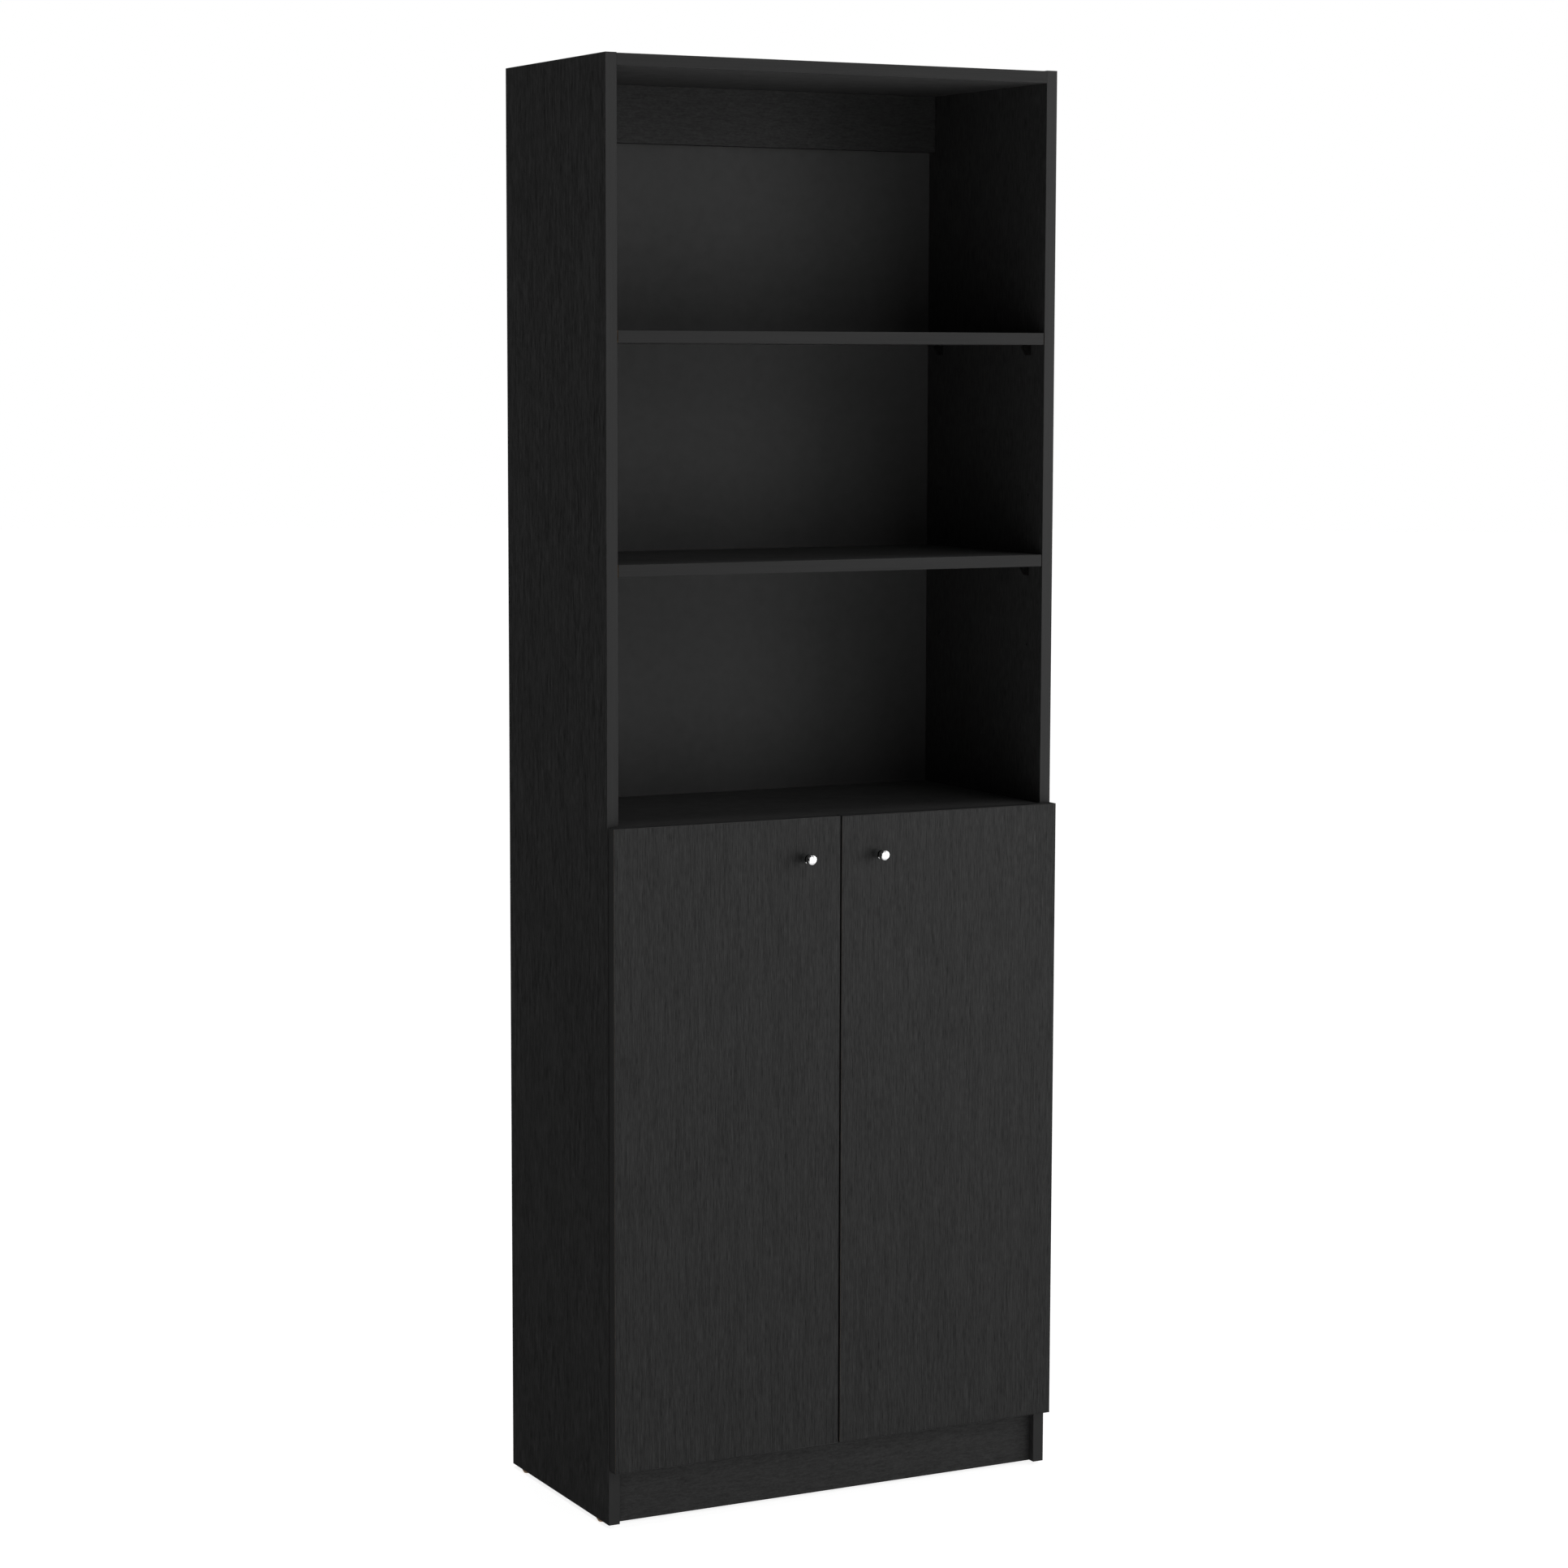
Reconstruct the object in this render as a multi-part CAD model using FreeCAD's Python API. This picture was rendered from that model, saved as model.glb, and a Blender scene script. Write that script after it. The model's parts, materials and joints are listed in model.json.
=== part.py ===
import FreeCAD, Part
import math
import os

# A flat-pack bookcase: two side panels carry a top, a fixed shelf, a floor and loose shelves.
# Below the fixed shelf two overlay doors turn on concealed cup hinges.
# Millimetres. +Z is up, the front faces -Y, and the origin is under the middle of the whole box.

Vec = FreeCAD.Vector
UP = Vec(0, 0, 1)
ACROSS = Vec(1, 0, 0)
FORWARD = Vec(0, -1, 0)

# Boards
side_height = 1795.0
width = 625.0
side_depth = 300.0
board = 15.0
back_thickness = 3.0
back_inset = 2.0
band = 0.5
top_drop = 0.7
rail_height = 73.0
plinth_height = 70.0
plinth_recess = 10.0

# Shelves. Levels run from the underside of the side panels to the top of the shelf.
# The lower bay has a set height, and the top bay is taller than the middle one to make up for the rail.
fixed_shelf_top = 868.0
cabinet_shelf_top = 470.0
lower_bay_height = 304.0
top_bay_extra = 46.3
shelf_end_gap = 1.0
shelf_back_gap = 4.0
cabinet_shelf_setback = 20.0

# Shelf supports and their holes
pin_diameter = 5.0
pin_length = 8.5
pin_hole_depth = 9.5
pin_edge_inset = 37.0
pin_pitch = 96.0
pin_drop = 5.5
support_reach = 10.0
support_height = 13.0
support_width = 8.5
support_foot = 3.0
support_lip = 3.0

# Floor glides, each held by a nail
glide_height = 5.0
glide_diameter = 14.0
glide_sole = 9.0
glide_front_inset = 37.0
glide_rear_inset = 30.0
glide_nail_diameter = 2.4
glide_nail_length = 18.0
glide_nail_depth = 2.0

# Doors
door_thickness = 15.0
door_gap = 1.5
door_side_inset = 1.0
door_meeting_gap = 2.6
door_bottom_lap = 1.0
door_top_lap = 1.0

# Knobs, turned from bar
knob_length = 22.0
knob_diameter = 13.0
knob_body_diameter = 12.4
knob_neck_diameter = 9.6
knob_body_length = 13.5
knob_neck_length = 2.0
knob_from_edge = 50.0
knob_from_top = 50.0
knob_screw_diameter = 4.0
knob_screw_grip = 9.0
knob_screw_clearance = 0.3
knob_screw_head_diameter = 8.0
knob_screw_head_height = 2.4

# Cam locks, bolts and dowels that hold the boards to the sides
cam_diameter = 15.0
cam_depth = 12.5
cam_setback = 24.0
cam_end_inset = 50.0
bolt_head_diameter = 6.4
bolt_head_length = 3.0
bolt_diameter = 5.0
bolt_in_side = 10.5
bolt_bore = 8.0
bolt_pocket_clearance = 0.4
dowel_diameter = 8.0
dowel_in_board = 20.0
dowel_in_side = 10.0
dowel_end_gap = 1.0
upright_fitting_spread = 16.0
peg_sides = 6
cam_sides = 8
glide_sides = 8
eye_sides = 8
pin_sides = 8

# Cup hinges. Places on the arm are (inward from the side's inner face, forward of the carcass front).
# Places in the cup are (inward from the side's inner face, back from the inside of the cup's bottom).
# The outer link works above the middle of the hinge and the inner link below it.
hinge_from_door_end = 100.0
cup_diameter = 35.0
cup_depth = 11.5
cup_wall = 1.0
cup_edge_distance = 3.0
flange_thickness = 0.8
flange_height = 58.0
flange_lip = 0.5
flange_half_width = 12.5
cup_screw_spacing = 48.0
cup_screw_offset = 6.0
cup_screw_diameter = 3.2
cup_screw_length = 9.0
cup_screw_head_diameter = 7.0
cup_screw_head_height = 1.4
arm_pivot_outer = (16.4, -8.5)
arm_pivot_inner = (18.2, 5.0)
outer_link_arm_bend = (8.0, 1.9)
outer_pin_in_cup = (-3.7, 7.0)
inner_pin_in_cup = (0.1, 4.5)
open_eye_in_cup = (0.0, 3.45)
outer_link_cup_bend = (2.2, 4.2)
inner_link_cup_bend = (10.3, 3.1)
outer_pin_diameter = 3.0
inner_arm_pin_diameter = 2.5
inner_cup_pin_diameter = 2.0
pin_running_gap = 0.05
open_eye_play = 2.4
link_thickness = 3.7
link_gap = 0.3
link_width = 3.2
outer_link_eye = 5.0
inner_link_arm_eye = 5.0
inner_link_cup_eye = 6.2
ear_half_width = 2.2
cheek_eye_outer = 3.6
cheek_eye_inner = 2.6
arm_rear = 62.0
arm_channel_front = 26.0
arm_lift = 3.0
arm_sheet = 1.2
plate_setback = 37.0
plate_sheet = 2.5
plate_block_height = 7.0
plate_block_front = 27.0
plate_block_rear = 58.0
plate_wing_half_depth = 6.5
plate_wing_half_height = 24.0
plate_screw_spacing = 32.0
plate_screw_diameter = 4.0
plate_screw_length = 11.0
plate_screw_head_diameter = 7.6
plate_screw_head_height = 1.8
arm_screw_setback = 50.0
arm_screw_diameter = 4.0
arm_screw_grip = 5.5
arm_screw_head_diameter = 6.6
arm_screw_head_height = 1.6

# Places worked out from the sizes above
under = glide_height
half_width = width / 2
inner_half = half_width - board
front = (door_gap + door_thickness + knob_length - side_depth - back_thickness) / 2
rear = front + side_depth
door_back = front - door_gap
door_front = door_back - door_thickness
plinth_front = front + plinth_recess
top_level = under + side_height
top_upper = top_level - top_drop
top_lower = top_upper - board
floor_lower = under + plinth_height
floor_upper = floor_lower + board
fixed_upper = under + fixed_shelf_top
door_low = floor_lower - door_bottom_lap
door_high = fixed_upper + door_top_lap
door_outer = half_width - door_side_inset
door_inner = door_meeting_gap / 2
knob_x = -door_inner - knob_from_edge
knob_z = door_high - knob_from_top
cup_centre = cup_edge_distance + cup_diameter / 2 - (door_outer - inner_half)
cup_floor = door_gap + cup_depth - cup_wall
cheek_inner = link_gap + link_thickness + link_gap
cheek_outer = cheek_inner + arm_sheet
web_top = plate_block_height + arm_sheet
hinge_levels = {"upper": door_high - hinge_from_door_end, "lower": door_low + hinge_from_door_end}
pin_rows = (front + pin_edge_inset, rear - pin_edge_inset)
lower_shelf_upper = fixed_upper + lower_bay_height + board
middle_bay_height = (top_lower - lower_shelf_upper - board - top_bay_extra) / 2
shelf_tops = {
    "upper_shelf": lower_shelf_upper + middle_bay_height + board,
    "lower_shelf": lower_shelf_upper,
    "cabinet_shelf": under + cabinet_shelf_top,
}


def block(x0, x1, y0, y1, z0, z1):
    return Part.makeBox(x1 - x0, y1 - y0, z1 - z0, Vec(x0, y0, z0))


def rod(diameter, start, end):
    line = end - start
    return Part.makeCylinder(diameter / 2, line.Length, start, line)


def sheet(points, rise):
    """A flat outline pushed out along a straight line."""
    return Part.Face(Part.makePolygon(points + points[:1])).extrude(rise)


def ring(diameter, middle, line, sides):
    """The corners of an even outline that lies square to a line."""
    level = ACROSS if abs(line.z) > line.Length / 2 else UP
    over = line.cross(level).normalize()
    corners = []
    for index in range(sides):
        angle = 2 * math.pi * index / sides
        corners.append(middle + (level * math.cos(angle) + over * math.sin(angle)) * (diameter / 2))
    return corners


def peg(diameter, start, end, sides=peg_sides):
    """A straight peg of few faces, for small fasteners and for the holes they fill."""
    return sheet(ring(diameter, start, end - start, sides), end - start)


def turned(outline, foot, axis):
    """Revolve (radius, height) points round an axis that starts at foot."""
    points = [Vec(radius, 0, along) for radius, along in outline]
    face = Part.Face(Part.makePolygon(points + points[:1]))
    solid = face.revolve(Vec(0, 0, 0), UP, 360)
    solid.Placement = FreeCAD.Placement(foot, FreeCAD.Rotation(UP, axis))
    return solid


def mirrored(shape):
    return shape.mirror(Vec(0, 0, 0), ACROSS)


def on_both_sides(shapes):
    return list(shapes) + [mirrored(shape) for shape in shapes]


def moved(shape, place, turn=0.0):
    """A copy turned about X by an angle and carried to a place."""
    copy = shape.copy()
    copy.rotate(Vec(0, 0, 0), ACROSS, turn)
    copy.translate(place)
    return copy


# Cam fittings are drawn at the right-hand side panel: X runs into that panel from its inner face,
# and +Z is the face of the board where the cam shows.
def cam_seat():
    low = board / 2 - cam_depth
    return peg(cam_diameter, Vec(-cam_setback, 0, low), Vec(-cam_setback, 0, board / 2), cam_sides)


def cam_lock():
    pocket_diameter = bolt_head_diameter + 2 * bolt_pocket_clearance
    pocket_end = -cam_setback - bolt_head_length / 2 - bolt_pocket_clearance
    return cam_seat().cut(peg(pocket_diameter, Vec(pocket_end, 0, 0), Vec(0, 0, 0)))


def cam_bolt():
    head_end = -cam_setback + bolt_head_length / 2
    head = peg(bolt_head_diameter, Vec(-cam_setback - bolt_head_length / 2, 0, 0), Vec(head_end, 0, 0))
    return head.fuse(peg(bolt_diameter, Vec(head_end, 0, 0), Vec(bolt_in_side, 0, 0)))


def dowel():
    return peg(dowel_diameter, Vec(-dowel_in_board, 0, 0), Vec(dowel_in_side, 0, 0))


def cam_bores():
    return [cam_seat(), peg(bolt_bore, Vec(-cam_setback, 0, 0), Vec(0, 0, 0))]


def dowel_board_bore():
    return peg(dowel_diameter, Vec(-dowel_in_board - dowel_end_gap, 0, 0), Vec(0, 0, 0))


def bolt_side_bore():
    return peg(bolt_diameter, Vec(0, 0, 0), Vec(bolt_in_side, 0, 0))


def dowel_side_bore():
    return peg(dowel_diameter, Vec(0, 0, 0), Vec(dowel_in_side + dowel_end_gap, 0, 0))


# A level board has two cams and a dowel at each end. The plinth and the rail have two dowels.
FACE_UP = 0.0
FACE_DOWN = 180.0
middle_depth = (front + rear) / 2


def cam_spots(upper, turn):
    rows = (front + cam_end_inset, rear - cam_end_inset)
    return [(Vec(inner_half, y, upper - board / 2), turn) for y in rows]


def upright_spots(y, z_middle):
    return [Vec(inner_half, y, z_middle + step * upright_fitting_spread) for step in (-1, 1)]


board_cams = {
    "top_panel": cam_spots(top_upper, FACE_UP),
    "fixed_shelf": cam_spots(fixed_upper, FACE_DOWN),
    "cabinet_floor": cam_spots(floor_upper, FACE_DOWN),
}
board_dowels = {
    "top_panel": [Vec(inner_half, middle_depth, top_upper - board / 2)],
    "fixed_shelf": [Vec(inner_half, middle_depth, fixed_upper - board / 2)],
    "cabinet_floor": [Vec(inner_half, middle_depth, floor_upper - board / 2)],
    "plinth_board": upright_spots(plinth_front + board / 2, under + plinth_height / 2),
    "top_back_rail": upright_spots(rear - board / 2, top_lower - rail_height / 2),
}


def at_every_cam(shape):
    return [moved(shape, place, turn) for spots in board_cams.values() for place, turn in spots]


def at_every_dowel(shape):
    return [moved(shape, place) for spots in board_dowels.values() for place in spots]


def bored(shape, name):
    """A board with the holes for its own cams, bolts and dowels."""
    tools = [moved(dowel_board_bore(), place) for place in board_dowels[name]]
    for place, turn in board_cams.get(name, []):
        tools += [moved(bore, place, turn) for bore in cam_bores()]
    return shape.cut(on_both_sides(tools))


# Shelf supports, drawn at the left-hand panel: X runs out of its inner face, Z = 0 on the pin
def shelf_support():
    low = pin_drop - support_height
    side = -support_width / 2
    outline = [Vec(0, side, low), Vec(support_foot, side, low)]
    outline += [Vec(support_reach, side, pin_drop - support_lip), Vec(support_reach, side, pin_drop)]
    outline += [Vec(0, side, pin_drop)]
    lug = sheet(outline, Vec(0, support_width, 0))
    return lug.fuse(peg(pin_diameter, Vec(-pin_length, 0, 0), Vec(0, 0, 0)))


def pin_level(shelf):
    return shelf_tops[shelf] - board - pin_drop


def supports_under(shelf):
    return on_both_sides([moved(shelf_support(), Vec(-inner_half, y, pin_level(shelf))) for y in pin_rows])


def pin_bores():
    """Holes in the left-hand panel: one row to each shelf, and two spare rows round the lower shelf."""
    bores = []
    for shelf in shelf_tops:
        steps = (-1, 0, 1) if shelf == "lower_shelf" else (0,)
        for z in [pin_level(shelf) + step * pin_pitch for step in steps]:
            for y in pin_rows:
                mouth = Vec(-inner_half, y, z)
                bores.append(peg(pin_diameter, mouth - ACROSS * pin_hole_depth, mouth))
    return bores


# Floor glides
def glide_places():
    x = inner_half + board / 2
    return [(x * side, y) for side in (-1, 1) for y in (front + glide_front_inset, rear - glide_rear_inset)]


def glide_nail(x, y):
    foot = Vec(x, y, glide_height - glide_nail_depth)
    return peg(glide_nail_diameter, foot, foot + UP * glide_nail_length)


def floor_glide(x, y):
    """A foot that narrows down to its sole."""
    sole = ring(glide_sole, Vec(x, y, 0), UP, glide_sides)
    rim = ring(glide_diameter, Vec(x, y, glide_height), UP, glide_sides)
    walls = [sole, rim]
    for index in range(glide_sides):
        walls.append([sole[index - 1], sole[index], rim[index], rim[index - 1]])
    faces = [Part.Face(Part.makePolygon(corners + corners[:1])) for corners in walls]
    return Part.makeSolid(Part.makeShell(faces)).cut(glide_nail(x, y))


# Cup hinges, drawn for the left-hand door: X runs inward from the side's inner face, Y back from
# the carcass front and Z up from the middle of the hinge.
def spot(place, level=0.0):
    return Vec(place[0], -place[1], level)


def in_cup(place):
    return (place[0], cup_floor - place[1])


def upright_peg(diameter, place, low, high, sides=eye_sides):
    return peg(diameter, spot(place, low), spot(place, high), sides)


def hinge_pin(diameter, place, low, high):
    return rod(diameter, spot(place, low), spot(place, high))


def pin_hole(diameter, place, low, high):
    """A hole whose flats clear a pin of this diameter all round."""
    return upright_peg(diameter / math.cos(math.pi / pin_sides), place, low, high, pin_sides)


def link_bar(path, eyes, low, high):
    """A bent bar with an eye at each end."""
    pieces = [upright_peg(diameter, place, low, high) for diameter, place in zip(eyes, (path[0], path[-1]))]
    pieces += [upright_peg(link_width, place, low, high) for place in path[1:-1]]
    for start, end in zip(path, path[1:]):
        line = spot(end) - spot(start)
        side = Vec(-line.y, line.x, 0).normalize() * (link_width / 2)
        a, b = spot(start, low), spot(end, low)
        pieces.append(sheet([a + side, a - side, b - side, b + side], UP * (high - low)))
    return pieces[0].fuse(pieces[1:]).removeSplitter()


def outer_link():
    low, high = link_gap, link_gap + link_thickness
    path = (in_cup(outer_pin_in_cup), in_cup(outer_link_cup_bend), outer_link_arm_bend, arm_pivot_outer)
    bar = link_bar(path, (outer_link_eye, outer_link_eye), low, high)
    hole = outer_pin_diameter + 2 * pin_running_gap
    return bar.cut([pin_hole(hole, place, low, high) for place in (path[0], path[-1])])


def inner_link():
    low, high = -link_gap - link_thickness, -link_gap
    path = (in_cup(open_eye_in_cup), in_cup(inner_link_cup_bend), arm_pivot_inner)
    bar = link_bar(path, (inner_link_cup_eye, inner_link_arm_eye), low, high)
    arm_hole = pin_hole(inner_arm_pin_diameter + 2 * pin_running_gap, arm_pivot_inner, low, high)
    cup_hole = pin_hole(inner_cup_pin_diameter + open_eye_play, path[0], low, high)
    return bar.cut([arm_hole, cup_hole])


def arm_pins():
    """The outer pin spans both cheeks. The inner one stands on the lower cheek alone."""
    outer = hinge_pin(outer_pin_diameter, arm_pivot_outer, -cheek_inner, cheek_inner)
    return [outer, hinge_pin(inner_arm_pin_diameter, arm_pivot_inner, -cheek_inner, 0)]


def cup_pins():
    """The outer pin hangs from the upper ear, and the inner one stands on the lower ear."""
    outer = hinge_pin(outer_pin_diameter, in_cup(outer_pin_in_cup), 0, cheek_inner)
    inner = upright_peg(inner_cup_pin_diameter, in_cup(inner_pin_in_cup), -cheek_inner, 0, pin_sides)
    return [outer, inner]


def hinge_plate():
    half = cheek_inner - link_gap
    tall = plate_wing_half_height
    wing_front = plate_setback - plate_wing_half_depth
    wings = block(0, plate_sheet, wing_front, plate_setback + plate_wing_half_depth, -tall, tall)
    rise = block(0, plate_block_height, plate_block_front, plate_block_rear, -half, half)
    holes = [peg(plate_screw_diameter, Vec(0, plate_setback, z), Vec(plate_sheet, plate_setback, z))
             for z in plate_screw_levels()]
    bottom = Vec(plate_block_height - arm_screw_grip, arm_screw_setback, 0)
    holes.append(peg(arm_screw_diameter, bottom, bottom + ACROSS * arm_screw_grip))
    return wings.fuse(rise).removeSplitter().cut(holes)


def arm_cheek(low, high):
    """One wall of the arm: a straight channel side that widens to carry the two arm pivots."""
    outer_x, outer_y = arm_pivot_outer
    inner_x, inner_y = arm_pivot_inner
    outline = [(arm_lift, -arm_rear), (web_top, -arm_rear), (web_top, -arm_channel_front)]
    outline += [(outer_x + cheek_eye_outer, outer_y - cheek_eye_outer / 2)]
    outline += [(inner_x + cheek_eye_inner, inner_y)]
    outline += [(inner_x + cheek_eye_inner / 2, inner_y + cheek_eye_inner)]
    outline += [(inner_x - cheek_eye_inner / 2, inner_y + cheek_eye_inner)]
    outline += [(inner_x - cheek_eye_inner, inner_y)]
    outline += [(outer_x - cheek_eye_outer, outer_y + cheek_eye_outer / 2)]
    outline += [(arm_lift, -arm_channel_front + cheek_eye_outer)]
    return sheet([spot(point, low) for point in outline], UP * (high - low))


def hinge_arm():
    web = block(plate_block_height, web_top, arm_channel_front, arm_rear, -cheek_inner, cheek_inner)
    cheeks = [arm_cheek(cheek_inner, cheek_outer), arm_cheek(-cheek_outer, -cheek_inner)]
    seat = Vec(plate_block_height, arm_screw_setback, 0)
    return web.fuse(cheeks).removeSplitter().cut(peg(arm_screw_diameter, seat, seat + ACROSS * arm_sheet))


def cup_solid(diameter, depth):
    return Part.makeCylinder(diameter / 2, depth, Vec(cup_centre, -door_gap, 0), FORWARD)


def cup_ear(place, low, high):
    """A wall from the bottom of the cup to one of its pins."""
    x, forward = in_cup(place)
    near = forward - ear_half_width
    return block(x - ear_half_width, x + ear_half_width, -cup_floor, -near, low, high)


def hinge_cup():
    tall = flange_height / 2
    face = -door_gap + flange_thickness
    outer, inner = cup_centre - flange_half_width, cup_centre + flange_half_width
    wings = block(outer, inner, -door_gap, face, -tall, tall)
    rim = rod(cup_diameter + 2 * flange_lip, Vec(cup_centre, -door_gap, 0), Vec(cup_centre, face, 0))
    mouth = rod(cup_diameter - 2 * cup_wall, Vec(cup_centre, face, 0), Vec(cup_centre, -cup_floor, 0))
    shell = cup_solid(cup_diameter, cup_depth).fuse([wings, rim]).removeSplitter().cut(mouth)
    upper_ear = cup_ear(outer_pin_in_cup, cheek_inner, cheek_outer)
    lower_ear = cup_ear(inner_pin_in_cup, -cheek_outer, -cheek_inner)
    holes = [peg(cup_screw_diameter, place, place - FORWARD * flange_thickness)
             for place in cup_screw_places()]
    return shell.fuse([upper_ear, lower_ear]).removeSplitter().cut(holes)


def cup_screw_places():
    """Points on the back of the door, under the flange."""
    x = cup_centre + cup_screw_offset
    return [Vec(x, -door_gap, z) for z in (-cup_screw_spacing / 2, cup_screw_spacing / 2)]


def plate_screw_levels():
    return (-plate_screw_spacing / 2, plate_screw_spacing / 2)


def screw(tip, seat, outward, diameter, head_diameter, head_height):
    return peg(diameter, tip, seat).fuse(peg(head_diameter, seat, seat + outward * head_height))


def cup_screws():
    inward = FORWARD * -1
    return [screw(place + FORWARD * cup_screw_length, place + inward * flange_thickness, inward,
                  cup_screw_diameter, cup_screw_head_diameter, cup_screw_head_height)
            for place in cup_screw_places()]


def plate_screws():
    return [screw(Vec(-plate_screw_length, plate_setback, z), Vec(plate_sheet, plate_setback, z), ACROSS,
                  plate_screw_diameter, plate_screw_head_diameter, plate_screw_head_height)
            for z in plate_screw_levels()]


def arm_screws():
    tip = Vec(plate_block_height - arm_screw_grip, arm_screw_setback, 0)
    seat = Vec(web_top, arm_screw_setback, 0)
    return [screw(tip, seat, ACROSS, arm_screw_diameter, arm_screw_head_diameter, arm_screw_head_height)]


def hung(shapes, level, side):
    """Hinge pieces carried to their height on the left-hand or right-hand side."""
    placed = [moved(shape, Vec(-inner_half, front, level)) for shape in shapes]
    return placed if side == "left" else [mirrored(shape) for shape in placed]


def hung_everywhere(make, sides=("left", "right")):
    return [shape for side in sides for level in hinge_levels.values() for shape in hung(make(), level, side)]


# Boards
def side_panel():
    """The left-hand panel with every hole that is drilled in it."""
    panel = block(-half_width, -inner_half, front + band, rear, under, top_level)
    tools = [mirrored(bore) for bore in at_every_cam(bolt_side_bore()) + at_every_dowel(dowel_side_bore())]
    tools += pin_bores()
    tools += [glide_nail(x, y) for x, y in glide_places()]
    for level in hinge_levels.values():
        for z in plate_screw_levels():
            mouth = Vec(-inner_half, front + plate_setback, level + z)
            tools.append(peg(plate_screw_diameter, mouth - ACROSS * plate_screw_length, mouth))
    return panel.cut(tools)


def level_board(upper, name):
    return bored(block(-inner_half, inner_half, front + band, rear, upper - board, upper), name)


def plinth_board():
    slab = block(-inner_half, inner_half, plinth_front, plinth_front + board, under, floor_lower)
    return bored(slab, "plinth_board")


def top_back_rail():
    slab = block(-inner_half, inner_half, rear - board, rear, top_lower - rail_height, top_lower)
    return bored(slab, "top_back_rail")


def back_panel():
    edge = half_width - back_inset
    return block(-edge, edge, rear, rear + back_thickness, under + back_inset, top_level - back_inset)


def shelf_front(name):
    return front + cabinet_shelf_setback if name == "cabinet_shelf" else front


def loose_shelf(name):
    upper = shelf_tops[name]
    reach = inner_half - shelf_end_gap
    return block(-reach, reach, shelf_front(name) + band, rear - shelf_back_gap, upper - board, upper)


def shelf_bands():
    reach = inner_half - shelf_end_gap
    return [block(-reach, reach, shelf_front(name), shelf_front(name) + band, upper - board, upper)
            for name, upper in shelf_tops.items()]


def carcass_bands():
    strips = on_both_sides([block(-half_width, -inner_half, front, front + band, under, top_level)])
    for upper in (top_upper, fixed_upper, floor_upper):
        strips.append(block(-inner_half, inner_half, front, front + band, upper - board, upper))
    return strips


# Doors, drawn for the left-hand side
def door():
    x0, x1 = -door_outer + band, -door_inner - band
    core = block(x0, x1, door_front, door_back, door_low + band, door_high - band)
    holes = hung_everywhere(lambda: [cup_solid(cup_diameter, cup_depth)], ("left",))
    for place in cup_screw_places():
        pilot = peg(cup_screw_diameter, place + FORWARD * cup_screw_length, place)
        holes += [moved(pilot, Vec(-inner_half, front, level)) for level in hinge_levels.values()]
    screw_hole = knob_screw_diameter + 2 * knob_screw_clearance
    holes.append(peg(screw_hole, Vec(knob_x, door_front, knob_z), Vec(knob_x, door_back, knob_z)))
    return core.cut(holes)


def door_bands():
    x0, x1 = -door_outer, -door_inner
    strips = [block(x0, x1, door_front, door_back, door_low, door_low + band)]
    strips.append(block(x0, x1, door_front, door_back, door_high - band, door_high))
    for edge in (x0, x1 - band):
        strips.append(block(edge, edge + band, door_front, door_back, door_low + band, door_high - band))
    return strips


def knob():
    body = knob_body_diameter / 2
    neck = knob_neck_diameter / 2
    head = knob_diameter / 2
    neck_end = knob_body_length + knob_neck_length
    outline = [(0, 0), (body, 0), (body, knob_body_length), (neck, knob_body_length), (neck, neck_end)]
    outline += [(head, neck_end), (head, knob_length), (0, knob_length)]
    seat = Vec(knob_x, door_front, knob_z)
    screw_hole = peg(knob_screw_diameter, seat + FORWARD * knob_screw_grip, seat)
    return turned(outline, seat, FORWARD).cut(screw_hole)


def knob_screw():
    tip = Vec(knob_x, door_front - knob_screw_grip, knob_z)
    seat = Vec(knob_x, door_back, knob_z)
    return screw(tip, seat, FORWARD * -1,
                 knob_screw_diameter, knob_screw_head_diameter, knob_screw_head_height)


nodes = {
    "left_side_panel": [side_panel()],
    "right_side_panel": [mirrored(side_panel())],
    "top_panel": [level_board(top_upper, "top_panel")],
    "fixed_shelf": [level_board(fixed_upper, "fixed_shelf")],
    "cabinet_floor": [level_board(floor_upper, "cabinet_floor")],
    "plinth_board": [plinth_board()],
    "top_back_rail": [top_back_rail()],
    "back_panel": [back_panel()],
    "carcass_edge_bands": carcass_bands(),
    "shelf_edge_bands": shelf_bands(),
    "floor_glides": [floor_glide(x, y) for x, y in glide_places()],
    "glide_nails": [glide_nail(x, y) for x, y in glide_places()],
    "cam_locks": on_both_sides(at_every_cam(cam_lock())),
    "cam_bolts": on_both_sides(at_every_cam(cam_bolt())),
    "wooden_dowels": on_both_sides(at_every_dowel(dowel())),
    "hinge_plate_screws": hung_everywhere(plate_screws),
    "hinge_arm_screws": hung_everywhere(arm_screws),
    "hinge_arm_pins": hung_everywhere(arm_pins),
    "left_door": [door()],
    "right_door": [mirrored(door())],
    "left_door_edge_bands": door_bands(),
    "right_door_edge_bands": [mirrored(strip) for strip in door_bands()],
    "left_knob": [knob()],
    "right_knob": [mirrored(knob())],
    "left_knob_screw": [knob_screw()],
    "right_knob_screw": [mirrored(knob_screw())],
}
for shelf in shelf_tops:
    nodes[shelf] = [loose_shelf(shelf)]
    nodes[shelf + "_supports"] = supports_under(shelf)
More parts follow.
